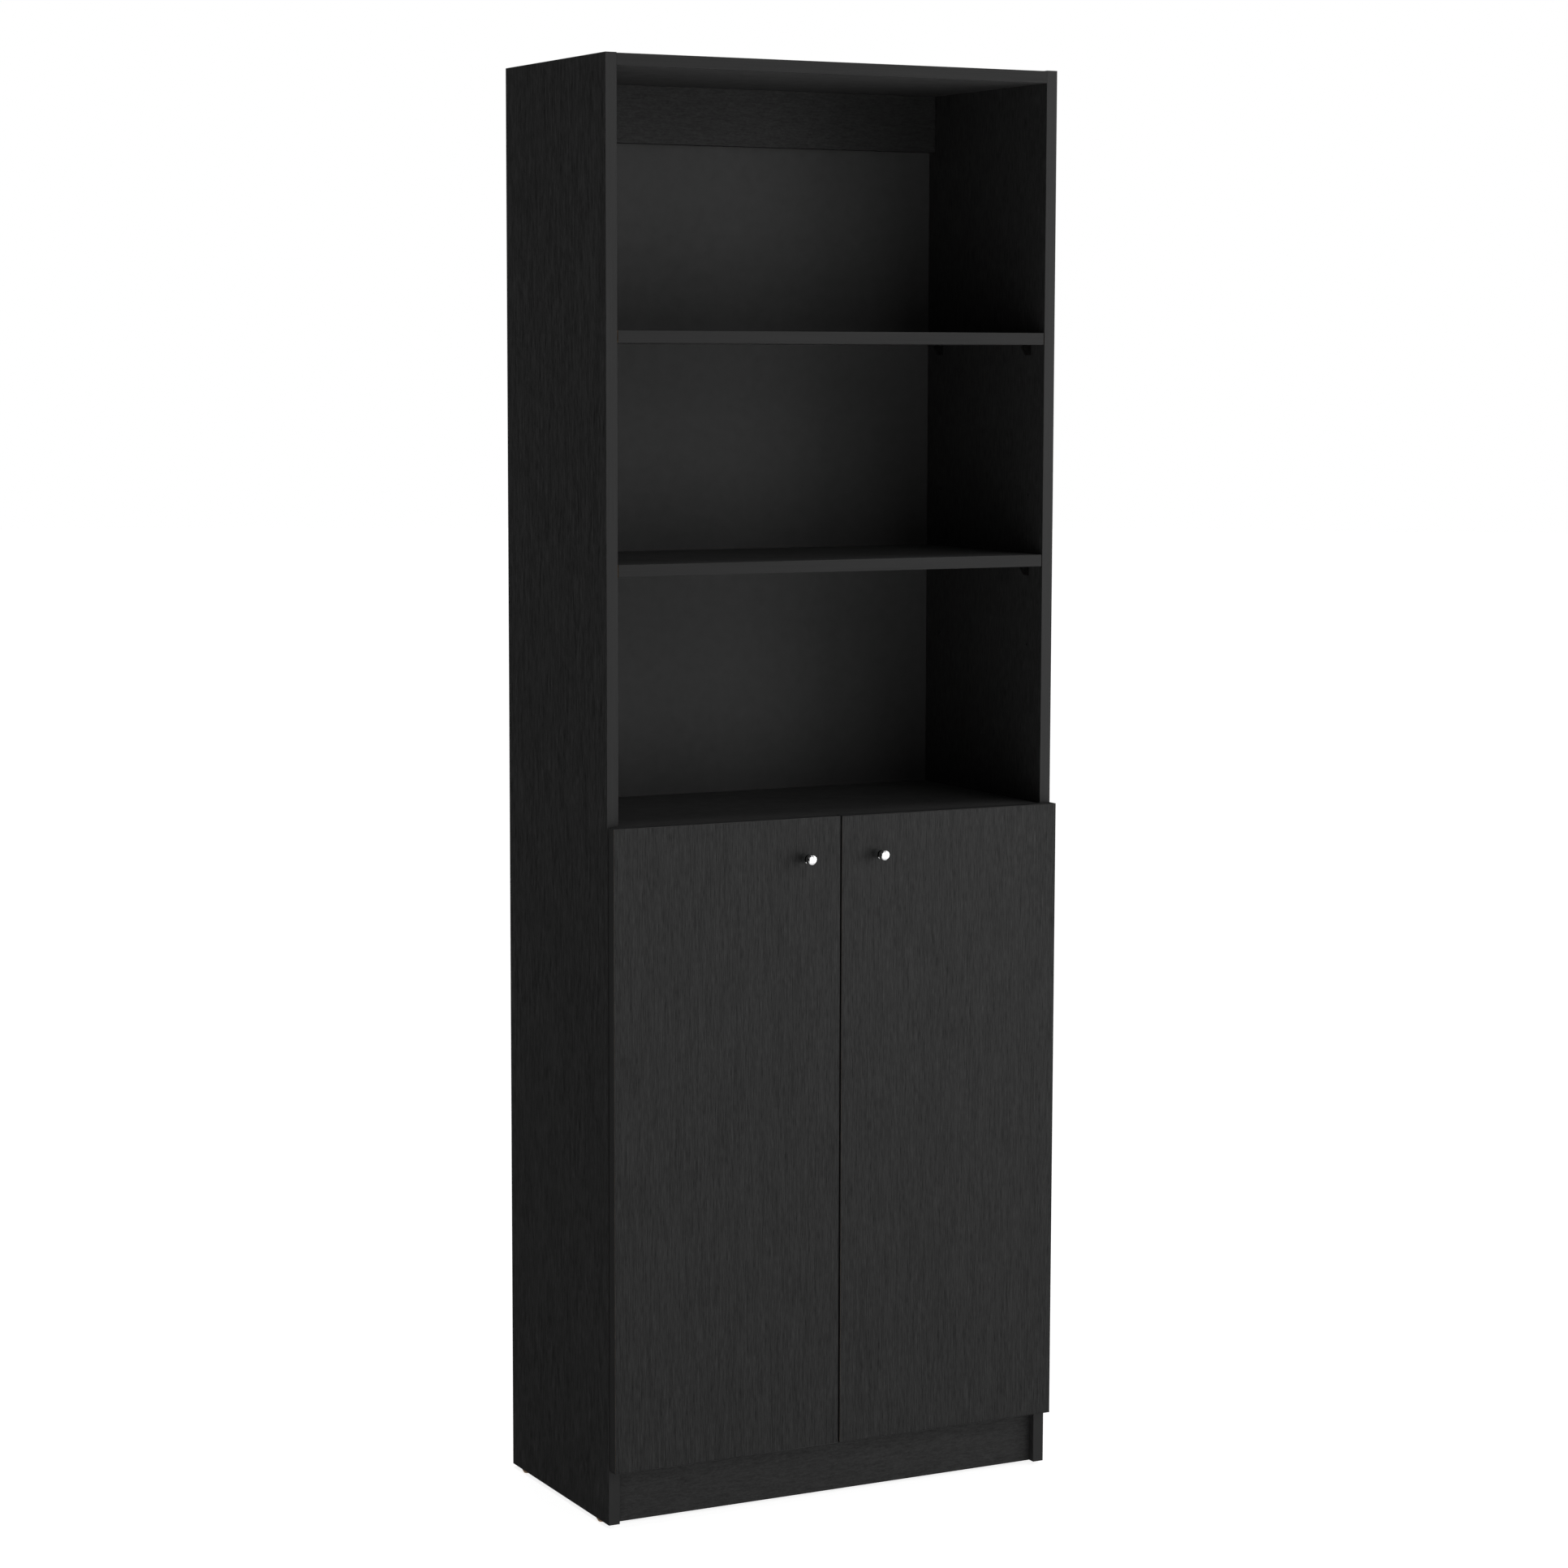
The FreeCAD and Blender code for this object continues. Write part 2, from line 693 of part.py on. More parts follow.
for side in ("left", "right"):
    nodes[side + "_hinge_cups"] = hung_everywhere(lambda: [hinge_cup()], (side,))
    nodes[side + "_hinge_cup_pins"] = hung_everywhere(cup_pins, (side,))
    nodes[side + "_hinge_cup_screws"] = hung_everywhere(cup_screws, (side,))
    for name, level in hinge_levels.items():
        corner = name + "_" + side
        nodes[corner + "_hinge_plate"] = hung([hinge_plate()], level, side)
        nodes[corner + "_hinge_arm"] = hung([hinge_arm()], level, side)
        nodes[corner + "_outer_link"] = hung([outer_link()], level, side)
        nodes[corner + "_inner_link"] = hung([inner_link()], level, side)

os.makedirs("parts", exist_ok=True)
for name, solids in nodes.items():
    shape = solids[0] if len(solids) == 1 else Part.makeCompound(solids)
    shape.exportStep(os.path.join("parts", name + ".step"))
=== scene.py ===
import json
import math
import bmesh
import bpy
from mathutils import Matrix, Vector

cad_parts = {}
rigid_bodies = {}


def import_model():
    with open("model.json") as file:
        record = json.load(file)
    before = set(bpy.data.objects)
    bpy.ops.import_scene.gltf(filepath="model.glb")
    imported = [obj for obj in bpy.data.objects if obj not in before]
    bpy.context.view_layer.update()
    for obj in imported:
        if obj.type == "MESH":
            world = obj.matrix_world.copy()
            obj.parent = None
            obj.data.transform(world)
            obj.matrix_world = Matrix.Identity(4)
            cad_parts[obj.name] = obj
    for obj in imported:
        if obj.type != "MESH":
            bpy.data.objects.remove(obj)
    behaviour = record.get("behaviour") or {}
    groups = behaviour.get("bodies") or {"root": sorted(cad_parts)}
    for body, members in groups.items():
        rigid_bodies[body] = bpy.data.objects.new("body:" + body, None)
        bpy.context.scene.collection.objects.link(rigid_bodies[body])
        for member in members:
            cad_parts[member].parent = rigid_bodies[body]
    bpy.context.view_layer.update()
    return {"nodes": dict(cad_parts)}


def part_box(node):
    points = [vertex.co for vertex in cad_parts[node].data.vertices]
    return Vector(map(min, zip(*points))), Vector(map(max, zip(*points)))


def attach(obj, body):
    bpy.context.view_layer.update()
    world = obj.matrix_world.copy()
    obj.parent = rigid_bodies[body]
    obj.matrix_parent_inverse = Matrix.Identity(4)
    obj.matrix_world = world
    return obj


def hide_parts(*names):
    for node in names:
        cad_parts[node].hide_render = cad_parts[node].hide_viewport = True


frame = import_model()


# Side panels. Two uprights of 15 mm particle board with a dark wood-grain foil pressed on both faces.
# The grain runs up the panel. The front edge takes a band, the top and bottom edges are foiled over, and
# the back edge is left as the saw cut it.
X, Y, Z = range(3)


def new_finish(name):
    """A material to be filled in, with its node tree and its surface."""
    finish = bpy.data.materials.new(name)
    finish.use_nodes = True
    tree = finish.node_tree
    return finish, tree, tree.nodes["Principled BSDF"]


def mottle(tree, stretch, detail, roughness, shift=(0.0, 0.0, 0.0)):
    """Soft noise on the piece's own coordinates, with so many patches to the metre along X, Y and Z."""
    place = tree.nodes.new("ShaderNodeTexCoord")
    lay = tree.nodes.new("ShaderNodeMapping")
    lay.inputs["Location"].default_value = shift
    lay.inputs["Scale"].default_value = stretch
    noise = tree.nodes.new("ShaderNodeTexNoise")
    noise.inputs["Scale"].default_value = 1.0
    noise.inputs["Detail"].default_value = detail
    noise.inputs["Roughness"].default_value = roughness
    tree.links.new(place.outputs["Object"], lay.inputs["Vector"])
    tree.links.new(lay.outputs["Vector"], noise.inputs["Vector"])
    return noise.outputs["Fac"]


def tones(tree, pattern, stops):
    """Colours laid over a pattern: each stop is the pattern's level and a colour."""
    ramp = tree.nodes.new("ShaderNodeValToRGB")
    while len(ramp.color_ramp.elements) < len(stops):
        ramp.color_ramp.elements.new(0.5)
    for element, (level, colour) in zip(ramp.color_ramp.elements, stops):
        element.position = level
        element.color = (*colour, 1.0)
    tree.links.new(pattern, ramp.inputs["Fac"])
    return ramp.outputs["Color"]


def shades(tree, pattern, stops):
    """Grey levels over a pattern, for near-black skins and for how dull a surface is."""
    return tones(tree, pattern, [(level, (grey, grey, grey)) for level, grey in stops])


def between(tree, amount, first, second):
    """Goes from the first colour to the second as a pattern rises."""
    blend = tree.nodes.new("ShaderNodeMix")
    blend.data_type = "RGBA"
    tree.links.new(amount, blend.inputs["Factor"])
    tree.links.new(first, blend.inputs["A"])
    tree.links.new(second, blend.inputs["B"])
    return blend.outputs["Result"]


def pressed(tree, surface, pattern, depth):
    """A pattern stamped into the surface, so many metres deep."""
    relief = tree.nodes.new("ShaderNodeBump")
    relief.inputs["Strength"].default_value = 1.0
    relief.inputs["Distance"].default_value = depth
    tree.links.new(pattern, relief.inputs["Height"])
    tree.links.new(relief.outputs["Normal"], surface.inputs["Normal"])


def along_grain(run, across, length):
    """Patches to the metre, drawn out along one axis of the board."""
    return tuple(length if axis == run else across for axis in (X, Y, Z))


def grain_foil(name, run, tone, depth, across, length):
    """Near-black printed foil round a mean tone: short pores and longer streaks along one axis."""
    finish, tree, surface = new_finish(name)
    pores = mottle(tree, along_grain(run, across, length), 3.0, 0.65)
    streaks = mottle(tree, along_grain(run, across, length / 3), 3.0, 0.65, shift=(3.1, 5.3, 7.7))
    clouds = mottle(tree, along_grain(run, 26.0, 2.2), 3.0, 0.5)
    trough, crest = 0.34, 0.66
    slight = depth * 0.1
    dim = shades(tree, streaks, [(trough, 0.0), (crest, 0.9)])
    lit = shades(tree, streaks, [(trough, 0.1), (crest, 1.0)])
    deep = shades(tree, pores, [(trough, tone * (1 - depth)), (crest, tone * (1 - slight))])
    worn = shades(tree, pores, [(trough, tone * (1 + slight)), (crest, tone * (1 + depth))])
    grain = between(tree, between(tree, clouds, dim, lit), deep, worn)
    tree.links.new(grain, surface.inputs["Base Color"])
    tree.links.new(shades(tree, pores, [(0.25, 0.66), (0.75, 0.50)]), surface.inputs["Roughness"])
    pressed(tree, surface, pores, 0.00003)
    surface.inputs["Specular IOR Level"].default_value = 0.30
    return finish


def chipboard(name):
    """Sawn particle board: pale and brown flakes of wood pressed together."""
    finish, tree, surface = new_finish(name)
    flakes = mottle(tree, (420.0, 420.0, 420.0), 2.0, 0.7)
    dust = mottle(tree, (1900.0, 1900.0, 1900.0), 2.0, 0.6)
    pale = tones(tree, dust, [(0.3, (0.30, 0.20, 0.11)), (0.7, (0.52, 0.38, 0.23))])
    brown = tones(tree, dust, [(0.3, (0.15, 0.09, 0.045)), (0.7, (0.33, 0.22, 0.12))])
    tree.links.new(between(tree, flakes, brown, pale), surface.inputs["Base Color"])
    pressed(tree, surface, flakes, 0.0002)
    surface.inputs["Roughness"].default_value = 0.9
    surface.inputs["Specular IOR Level"].default_value = 0.2
    return finish


def cad_shape(node):
    """A node's mesh with its triangles joined up and its flat faces made whole."""
    shape = bmesh.new()
    shape.from_mesh(frame["nodes"][node].data)
    bmesh.ops.remove_doubles(shape, verts=shape.verts, dist=1e-6)
    bmesh.ops.dissolve_limit(shape, angle_limit=math.radians(1), verts=shape.verts, edges=shape.edges)
    for face in shape.faces:
        face.material_index = 0
        face.smooth = False
    return shape


def lies_on(verts, planes, slack=1e-5):
    """The planes, each an axis and a level, that hold all of these points."""
    return [(axis, level) for axis, level in planes
            if all(abs(vert.co[axis] - level) < slack for vert in verts)]


def box_planes(low, high):
    """The six outside planes of a board, each an axis and a level."""
    return [(axis, level) for axis in (X, Y, Z) for level in (low[axis], high[axis])]


def eased(shape, edges, radius, steps=2):
    """Takes the sharpness off edges with a small round."""
    made = bmesh.ops.bevel(shape, geom=edges, offset=radius, offset_type="OFFSET", segments=steps,
                           profile=0.5, affect="EDGES", material=-1, clamp_overlap=True)
    for face in made["faces"]:
        face.smooth = True


def shown(shape, name, finishes, body, slot, *nodes, smooth_under=None):
    """Keeps a shape as a piece that rides on a body and stands for CAD nodes."""
    bmesh.ops.recalc_face_normals(shape, faces=shape.faces)
    mesh = bpy.data.meshes.new(name)
    shape.to_mesh(mesh)
    shape.free()
    if "custom_normal" in mesh.attributes:
        mesh.attributes.remove(mesh.attributes["custom_normal"])
    for finish in finishes:
        mesh.materials.append(finish)
    if smooth_under is not None:
        mesh.polygons.foreach_set("use_smooth", [True] * len(mesh.polygons))
        mesh.set_sharp_from_angle(angle=math.radians(smooth_under))
    piece = bpy.data.objects.new(name, mesh)
    bpy.context.scene.collection.objects.link(piece)
    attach(piece, body)
    if nodes:
        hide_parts(*nodes)


def faced_board(node, name, body, wide_axis, skin, banded=(), covered=(), worn_round=0.0004):
    """A board from its CAD node: skin on wide faces and in holes, chipboard on open edges, edges eased."""
    low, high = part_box(node)
    planes = box_planes(low, high)
    sawn = [plane for plane in planes if plane[0] != wide_axis and plane not in covered]
    shape = cad_shape(node)
    # Every face off the sawn edge planes takes the skin; on the walls of the bored holes that is painted
    # shade in place of bare chipboard.
    for face in shape.faces:
        face.material_index = 1 if lies_on(face.verts, sawn) else 0
    edges = [edge for edge in shape.edges
             if len(lies_on(edge.verts, planes)) == 2 and not lies_on(edge.verts, banded)]
    eased(shape, edges, worn_round)
    shown(shape, name, [skin, raw_board], body, "dark_board", node)


upright_foil = grain_foil("upright_grain_foil", Z, tone=0.0248, depth=1.0, across=1250.0, length=74.0)
raw_board = chipboard("sawn_particle_board")
for side in ("left", "right"):
    low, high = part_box(side + "_side_panel")
    faced_board(side + "_side_panel", side + "_upright", "carcass", X, upright_foil,
                banded=[(Y, low.y)], covered=[(Z, low.z), (Z, high.z)])


# Top, fixed shelf and cabinet floor. Three level boards of particle board under a plain dark melamine,
# butted between the uprights and pulled tight by cams. They have no printed grain, and only their front
# edge is banded. Their melamine is toned more than twice as light as the uprights' foil: part of that is
# its own tone, the rest is painted light on the faces that lie level.
def plain_melamine(name, tone):
    """A plain dark skin round a mean tone, with a faint haze over it."""
    finish, tree, surface = new_finish(name)
    haze = mottle(tree, (45.0, 45.0, 45.0), 4.0, 0.6)
    skin = mottle(tree, (1600.0, 1600.0, 1600.0), 2.0, 0.5)
    clouded = shades(tree, haze, [(0.3, tone * 0.95), (0.7, tone * 1.05)])
    tree.links.new(clouded, surface.inputs["Base Color"])
    tree.links.new(shades(tree, haze, [(0.3, 0.66), (0.7, 0.58)]), surface.inputs["Roughness"])
    pressed(tree, surface, skin, 0.00001)
    surface.inputs["Specular IOR Level"].default_value = 0.30
    return finish


# The melamine's tone is partly its own and partly painted light on the level faces.
level_skin_painted_light = plain_melamine("level_melamine_painted_light", 0.060)
level_boards = {"top_panel": "top_board", "fixed_shelf": "cabinet_top_board",
                "cabinet_floor": "floor_board"}
for node, name in level_boards.items():
    low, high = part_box(node)
    faced_board(node, name, "carcass", Z, level_skin_painted_light, banded=[(Y, low.y)])


# Plinth and back rail. Two narrow rails of foiled board between the uprights: one stands under the floor,
# set back from the front, and the other hangs under the top against the back. Both are doweled into the
# uprights, and their grain runs along them.
rail_foil = grain_foil("lengthwise_grain_foil", X, tone=0.0250, depth=0.40, across=480.0, length=200.0)
for node, name in {"plinth_board": "kick_board", "top_back_rail": "upper_rail"}.items():
    low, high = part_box(node)
    faced_board(node, name, "carcass", Y, rail_foil, covered=[(Z, low.z), (Z, high.z)])


# Edge bands of the carcass. Half-millimetre plastic strip glued along the front edges, trimmed flush and
# scraped to a small round. It is plain, near the foil in tone, with only a trace of lengthwise grain. The
# strips on level edges are toned darker than those on the uprights, as painted shade.
scraped_round = 0.0003


def plain_band(name, run, tone):
    """Plastic strip round a mean tone, with faint scrape marks along it."""
    finish, tree, surface = new_finish(name)
    scrape = mottle(tree, along_grain(run, 900.0, 5.0), 2.0, 0.5)
    streaked = shades(tree, scrape, [(0.3, tone * 0.92), (0.7, tone * 1.08)])
    tree.links.new(streaked, surface.inputs["Base Color"])
    tree.links.new(shades(tree, scrape, [(0.3, 0.58), (0.7, 0.50)]), surface.inputs["Roughness"])
    surface.inputs["Specular IOR Level"].default_value = 0.30
    return finish


def banding(node, name, body, finishes, shown_levels):
    """Strips of band from a CAD node: upright ones take the first finish, level ones the second."""
    shape = cad_shape(node)
    # Level strips take their own finish, which carries painted shade on the case and a painted highlight on
    # the doors.
    for face in shape.faces:
        across = [vert.co.x for vert in face.verts]
        upward = [vert.co.z for vert in face.verts]
        stands = max(upward) - min(upward) > max(across) - min(across)
        face.material_index = 0 if stands else 1
    planes = [(Y, level) for level in shown_levels]
    eased(shape, [edge for edge in shape.edges if lies_on(edge.verts, planes)], scraped_round)
    shown(shape, name, finishes, body, "edge_band", node)


# The level band is darker than the upright one: painted shade on the level front edges.
bands = [plain_band("upright_band", Z, 0.0265), plain_band("level_band_painted_shade", X, 0.0193)]
low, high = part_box("carcass_edge_bands")
banding("carcass_edge_bands", "case_front_bands", "carcass", bands, [low.y])


# Back panel. A 3 mm fibreboard sheet, lacquered dark and smooth on the side that faces the shelves and left
# as bare brown fibre behind. It is nailed to the rear edges of the case with flat round heads.
def lacquered_fibre(name):
    """Dark lacquer rolled on fibreboard, with a faint haze over it."""
    finish, tree, surface = new_finish(name)
    haze = mottle(tree, (60.0, 60.0, 60.0), 4.0, 0.6)
    skin = mottle(tree, (1500.0, 1500.0, 1500.0), 2.0, 0.5)
    tree.links.new(shades(tree, haze, [(0.3, 0.0480), (0.7, 0.0532)]), surface.inputs["Base Color"])
    tree.links.new(shades(tree, haze, [(0.3, 0.62), (0.7, 0.54)]), surface.inputs["Roughness"])
    pressed(tree, surface, skin, 0.00001)
    surface.inputs["Specular IOR Level"].default_value = 0.30
    return finish


def bare_fibre(name):
    """Brown pressed fibres, stained lighter and darker in broad patches."""
    finish, tree, surface = new_finish(name)
    fibres = mottle(tree, (900.0, 900.0, 300.0), 4.0, 0.7)
    stain = mottle(tree, (9.0, 9.0, 9.0), 3.0, 0.5)
    light = tones(tree, fibres, [(0.3, (0.21, 0.125, 0.065)), (0.7, (0.31, 0.20, 0.11))])
    dark = tones(tree, fibres, [(0.3, (0.15, 0.085, 0.045)), (0.7, (0.25, 0.155, 0.085))])
    tree.links.new(between(tree, stain, light, dark), surface.inputs["Base Color"])
    pressed(tree, surface, fibres, 0.00005)
    surface.inputs["Roughness"].default_value = 0.85
    surface.inputs["Specular IOR Level"].default_value = 0.2
    return finish


def plated(name, dim, bright, dullness, patches):
    """A metal finish that clouds a little from place to place, with so many patches to the metre."""
    finish, tree, surface = new_finish(name)
    cloud = mottle(tree, (patches, patches, patches), 3.0, 0.6)
    tree.links.new(tones(tree, cloud, [(0.3, dim), (0.7, bright)]), surface.inputs["Base Color"])
    least, most = dullness
    tree.links.new(shades(tree, cloud, [(0.3, least), (0.7, most)]), surface.inputs["Roughness"])
    surface.inputs["Metallic"].default_value = 1.0
    return finish


def softened(outline, steps=4):
    """A turned outline of (radius, height, rounding) corners, with each rounding drawn as a curve."""
    path = []
    for index, (radius, height, rounding) in enumerate(outline):
        corner = Vector((radius, height))
        if rounding == 0.0 or index in (0, len(outline) - 1):
            path.append(corner)
            continue
        before = Vector(outline[index - 1][:2]) - corner
        after = Vector(outline[index + 1][:2]) - corner
        start = corner + before.normalized() * rounding
        end = corner + after.normalized() * rounding
        for step in range(steps + 1):
            share = step / steps
            path.append(start * (1 - share) ** 2 + corner * 2 * share * (1 - share) + end * share ** 2)
    return path


def lathed(shape, path, steps):
    """Spins an outline round the Z axis into a shape."""
    verts = [shape.verts.new((point.x, 0.0, point.y)) for point in path]
    edges = [shape.edges.new(pair) for pair in zip(verts, verts[1:])]
    bmesh.ops.spin(shape, geom=verts + edges, cent=(0, 0, 0), axis=(0, 0, 1), angle=2 * math.pi,
                   steps=steps, use_merge=True)
    bmesh.ops.remove_doubles(shape, verts=shape.verts, dist=1e-7)


def placed(shape, pattern, matrix):
    """Adds a copy of a pattern piece at a place and turn."""
    mesh = bpy.data.meshes.new("pattern")
    pattern.to_mesh(mesh)
    mesh.transform(matrix)
    shape.from_mesh(mesh)
    bpy.data.meshes.remove(mesh)


def facing(place, outward):
    """Where a piece drawn along +Z stands when its head faces outward."""
    return Matrix.Translation(place) @ Vector(outward).to_track_quat("Z", "Y").to_matrix().to_4x4()


back_lacquer = lacquered_fibre("dark_back_lacquer")
back_fibre = bare_fibre("bare_fibreboard")
bright_steel = plated("nail_steel", (0.42, 0.42, 0.43), (0.56, 0.56, 0.57), dullness=(0.28, 0.42),
                      patches=300.0)
nail_length = 0.014
nail_point = 0.002
nail_shank = 0.0007
nail_head = 0.0022
nail_rise = 0.00025
nails_up_a_side = 13
first_nail = 0.03
cut_round = 0.0003
low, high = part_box("back_panel")
rear_face = high.y - nail_rise
sheet = cad_shape("back_panel")
behind = [vert for vert in sheet.verts if vert.co.y > (low.y + high.y) / 2]
bmesh.ops.translate(sheet, vec=(0, -nail_rise, 0), verts=behind)
bmesh.ops.recalc_face_normals(sheet, faces=sheet.faces)
for face in sheet.faces:
    face.material_index = 0 if face.normal.y < -0.5 else 1
eased(sheet, list(sheet.edges), cut_round)
shown(sheet, "nailed_back", [back_lacquer, back_fibre], "carcass", "back_board", "back_panel")
nail = bmesh.new()
lathed(nail, softened([(0.0, -nail_length, 0), (0.0003, -nail_length, 0),
                       (nail_shank, nail_point - nail_length, 0), (nail_shank, -0.0003, 0),
                       (nail_head, 0.0, 0), (nail_head, 0.00012, 0),
                       (0.0016, nail_rise, 0.0004), (0.0, nail_rise, 0)]), steps=20)
panel_low, panel_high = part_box("right_side_panel")
side_x = (panel_low.x + panel_high.x) / 2
nail_places = []
for count in range(nails_up_a_side):
    z = low.z + first_nail + count * (high.z - low.z - 2 * first_nail) / (nails_up_a_side - 1)
    nail_places += [(-side_x, z), (side_x, z)]
for node in level_boards:
    board_low, board_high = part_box(node)
    middle = (board_low.z + board_high.z) / 2
    nail_places += [(share * board_high.x, middle) for share in (-0.6, -0.2, 0.2, 0.6)]
nails = bmesh.new()
for x, z in nail_places:
    placed(nails, nail, facing((x, rear_face, z), (0, 1, 0)))
nail.free()
shown(nails, "back_nails", [bright_steel], "carcass", "steel", smooth_under=40)


# Case fittings. Die-cast zinc cams turn in blind holes near the board ends and pull on steel bolts that are
# screwed into the uprights. Each cam has a thin rim and a cross slot. Beech dowels beside them keep the
# boards in line.
def cross_topped(shape, path, steps, reach, half_width, depth):
    """A lathed piece whose open top is closed round a driver's cross slot."""
    lathed(shape, path, steps)
    top = path[-1].y
    rim = [edge for edge in shape.edges if edge.is_boundary]
    arm = [(reach, half_width), (half_width, half_width), (half_width, reach)]
    outline = []
    for quarter in range(4):
        outline += arm
        arm = [(-y, x) for x, y in arm]
    corners = [shape.verts.new((x, y, top)) for x, y in outline]
    sides = [shape.edges.new((corners[index - 1], corners[index])) for index in range(len(corners))]
    bmesh.ops.bridge_loops(shape, edges=rim + sides)
    slot = bmesh.ops.contextual_create(shape, geom=sides)["faces"]
    sunk = bmesh.ops.extrude_face_region(shape, geom=slot)["geom"]
    floor_points = [part for part in sunk if isinstance(part, bmesh.types.BMVert)]
    bmesh.ops.translate(shape, vec=(0, 0, -depth), verts=floor_points)
    bmesh.ops.scale(shape, vec=(0.7, 0.7, 1.0), verts=floor_points)
    bmesh.ops.delete(shape, geom=[face for face in slot if face.is_valid], context="FACES_ONLY")


def loose_parts(node):
    """The lowest and highest corner of each separate solid in a CAD node."""
    shape = cad_shape(node)
    seen = set()
    found = []
    for first in shape.verts:
        if first in seen:
            continue
        seen.add(first)
        heap = [first]
        part = []
        while heap:
            vert = heap.pop()
            part.append(vert.co.copy())
            for edge in vert.link_edges:
                other = edge.other_vert(vert)
                if other not in seen:
                    seen.add(other)
                    heap.append(other)
        found.append((Vector([min(point[axis] for point in part) for axis in (X, Y, Z)]),
                      Vector([max(point[axis] for point in part) for axis in (X, Y, Z)])))
    shape.free()
    return found


def plain_finish_on(finish, node):
    """Gives its finish to a CAD node that keeps its own shape."""
    mesh = frame["nodes"][node].data
    mesh.materials.clear()
    mesh.materials.append(finish)


cast_zinc = plated("cast_zinc", (0.36, 0.365, 0.37), (0.50, 0.505, 0.51), dullness=(0.42, 0.58),
                   patches=700.0)
cam_depth = 0.0123
cam_radius = 0.0067
cam_top = 0.0001
rim_radius = 0.0078
rim_rise = 0.0004
cam = bmesh.new()
cross_topped(cam, softened([(0.0, -cam_depth, 0), (cam_radius, -cam_depth, 0.0005), (cam_radius, 0.0, 0),
                            (rim_radius, 0.0, 0), (rim_radius, rim_rise, 0.0002),
                            (0.0070, rim_rise, 0.0002), (0.0066, cam_top, 0.0002), (0.0048, cam_top, 0)]),
             steps=40, reach=0.0034, half_width=0.0009, depth=0.0028)
cams = bmesh.new()
for low, high in loose_parts("cam_locks"):
    upward = high.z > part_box("upper_shelf")[1].z
    place = Vector(((low.x + high.x) / 2, (low.y + high.y) / 2, high.z if upward else low.z))
    placed(cams, cam, facing(place, (0, 0, 1 if upward else -1)))
cam.free()
shown(cams, "cross_slot_cams", [cast_zinc], "carcass", "zinc", "cam_locks", smooth_under=35)
plain_finish_on(bright_steel, "cam_bolts")
beech, tree, surface = new_finish("ribbed_beech")
flecks = mottle(tree, (60.0, 900.0, 900.0), 3.0, 0.6)
wood = tones(tree, flecks, [(0.3, (0.42, 0.27, 0.15)), (0.7, (0.60, 0.43, 0.27))])
tree.links.new(wood, surface.inputs["Base Color"])
surface.inputs["Roughness"].default_value = 0.7
plain_finish_on(beech, "wooden_dowels")


# Floor glides. Four buttons moulded in brown polyethylene, each with a nail set in it and knocked into the
# bottom edge of an upright, so that the case stands 5 mm clear of the floor.
glide_brown, tree, surface = new_finish("glide_polyethylene")
swirl = mottle(tree, (260.0, 260.0, 260.0), 3.0, 0.6)
brown = tones(tree, swirl, [(0.3, (0.19, 0.115, 0.062)), (0.7, (0.29, 0.185, 0.105))])
tree.links.new(brown, surface.inputs["Base Color"])
tree.links.new(shades(tree, swirl, [(0.3, 0.42), (0.7, 0.55)]), surface.inputs["Roughness"])
foot_radius = 0.0045
button_lip = 0.0008
button_round = 0.0006
glides = bmesh.new()
for low, high in loose_parts("floor_glides"):
    rim = (high.x - low.x) / 2
    button = bmesh.new()
    lathed(button, softened([(0.0, 0.0, 0), (foot_radius, 0.0, button_round),
                             (rim, high.z - button_lip, button_round), (rim, high.z, 0),
                             (0.0, high.z, 0)]), steps=40)
    placed(glides, button, Matrix.Translation(((low.x + high.x) / 2, (low.y + high.y) / 2, 0.0)))
    button.free()
shown(glides, "nail_on_glides", [glide_brown], "carcass", "glide_plastic", "floor_glides", smooth_under=40)
plain_finish_on(bright_steel, "glide_nails")


# Loose shelves. Three boards of the plain melamine, banded in front, that rest on supports moulded in dark
# nylon, toned darker still as painted shade under the shelves. Each support has a wedge-shaped lug and a
# pin pushed into a hole of the upright.
shaded_black_nylon, tree, surface = new_finish("support_nylon_painted_shade")
bloom = mottle(tree, (500.0, 500.0, 500.0), 3.0, 0.6)
# The nylon is set darker than black plastic is, as painted shade under the shelves.
nylon = tones(tree, bloom, [(0.3, (0.0045, 0.0043, 0.0041)), (0.7, (0.0075, 0.0072, 0.0069))])
tree.links.new(nylon, surface.inputs["Base Color"])
tree.links.new(shades(tree, bloom, [(0.3, 0.35), (0.7, 0.50)]), surface.inputs["Roughness"])
surface.inputs["Specular IOR Level"].default_value = 0.25
pin_length = 0.0085
wall_gap = 0.0001
toe_gap = 0.001
toe_round = 0.0012
moulded_round = 0.0003
moulded_corner = 0.9
for node in ("upper_shelf", "lower_shelf", "cabinet_shelf"):
    supports = node + "_supports"
    low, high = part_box(node)
    # The shelves take the same melamine, whose light tone is partly painted light.
    faced_board(node, node + "_board", "carcass", Z, level_skin_painted_light, banded=[(Y, low.y)])
    lugs = cad_shape(supports)
    low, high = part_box(supports)
    root = high.x - pin_length - wall_gap
    toes = [edge for edge in lugs.edges if lies_on(edge.verts, [(Z, low.z)])
            and all(abs(vert.co.x) < root - toe_gap for vert in edge.verts)]
    eased(lugs, toes, toe_round, steps=4)
    sharp = [edge for edge in lugs.edges if edge.is_manifold and edge.calc_face_angle() > moulded_corner
             and all(abs(vert.co.x) < root for vert in edge.verts)]
    eased(lugs, sharp, moulded_round)
    shown(lugs, node + "_lugs", [shaded_black_nylon], "carcass", "support_plastic", supports, smooth_under=35)
strips = cad_shape("shelf_edge_bands")
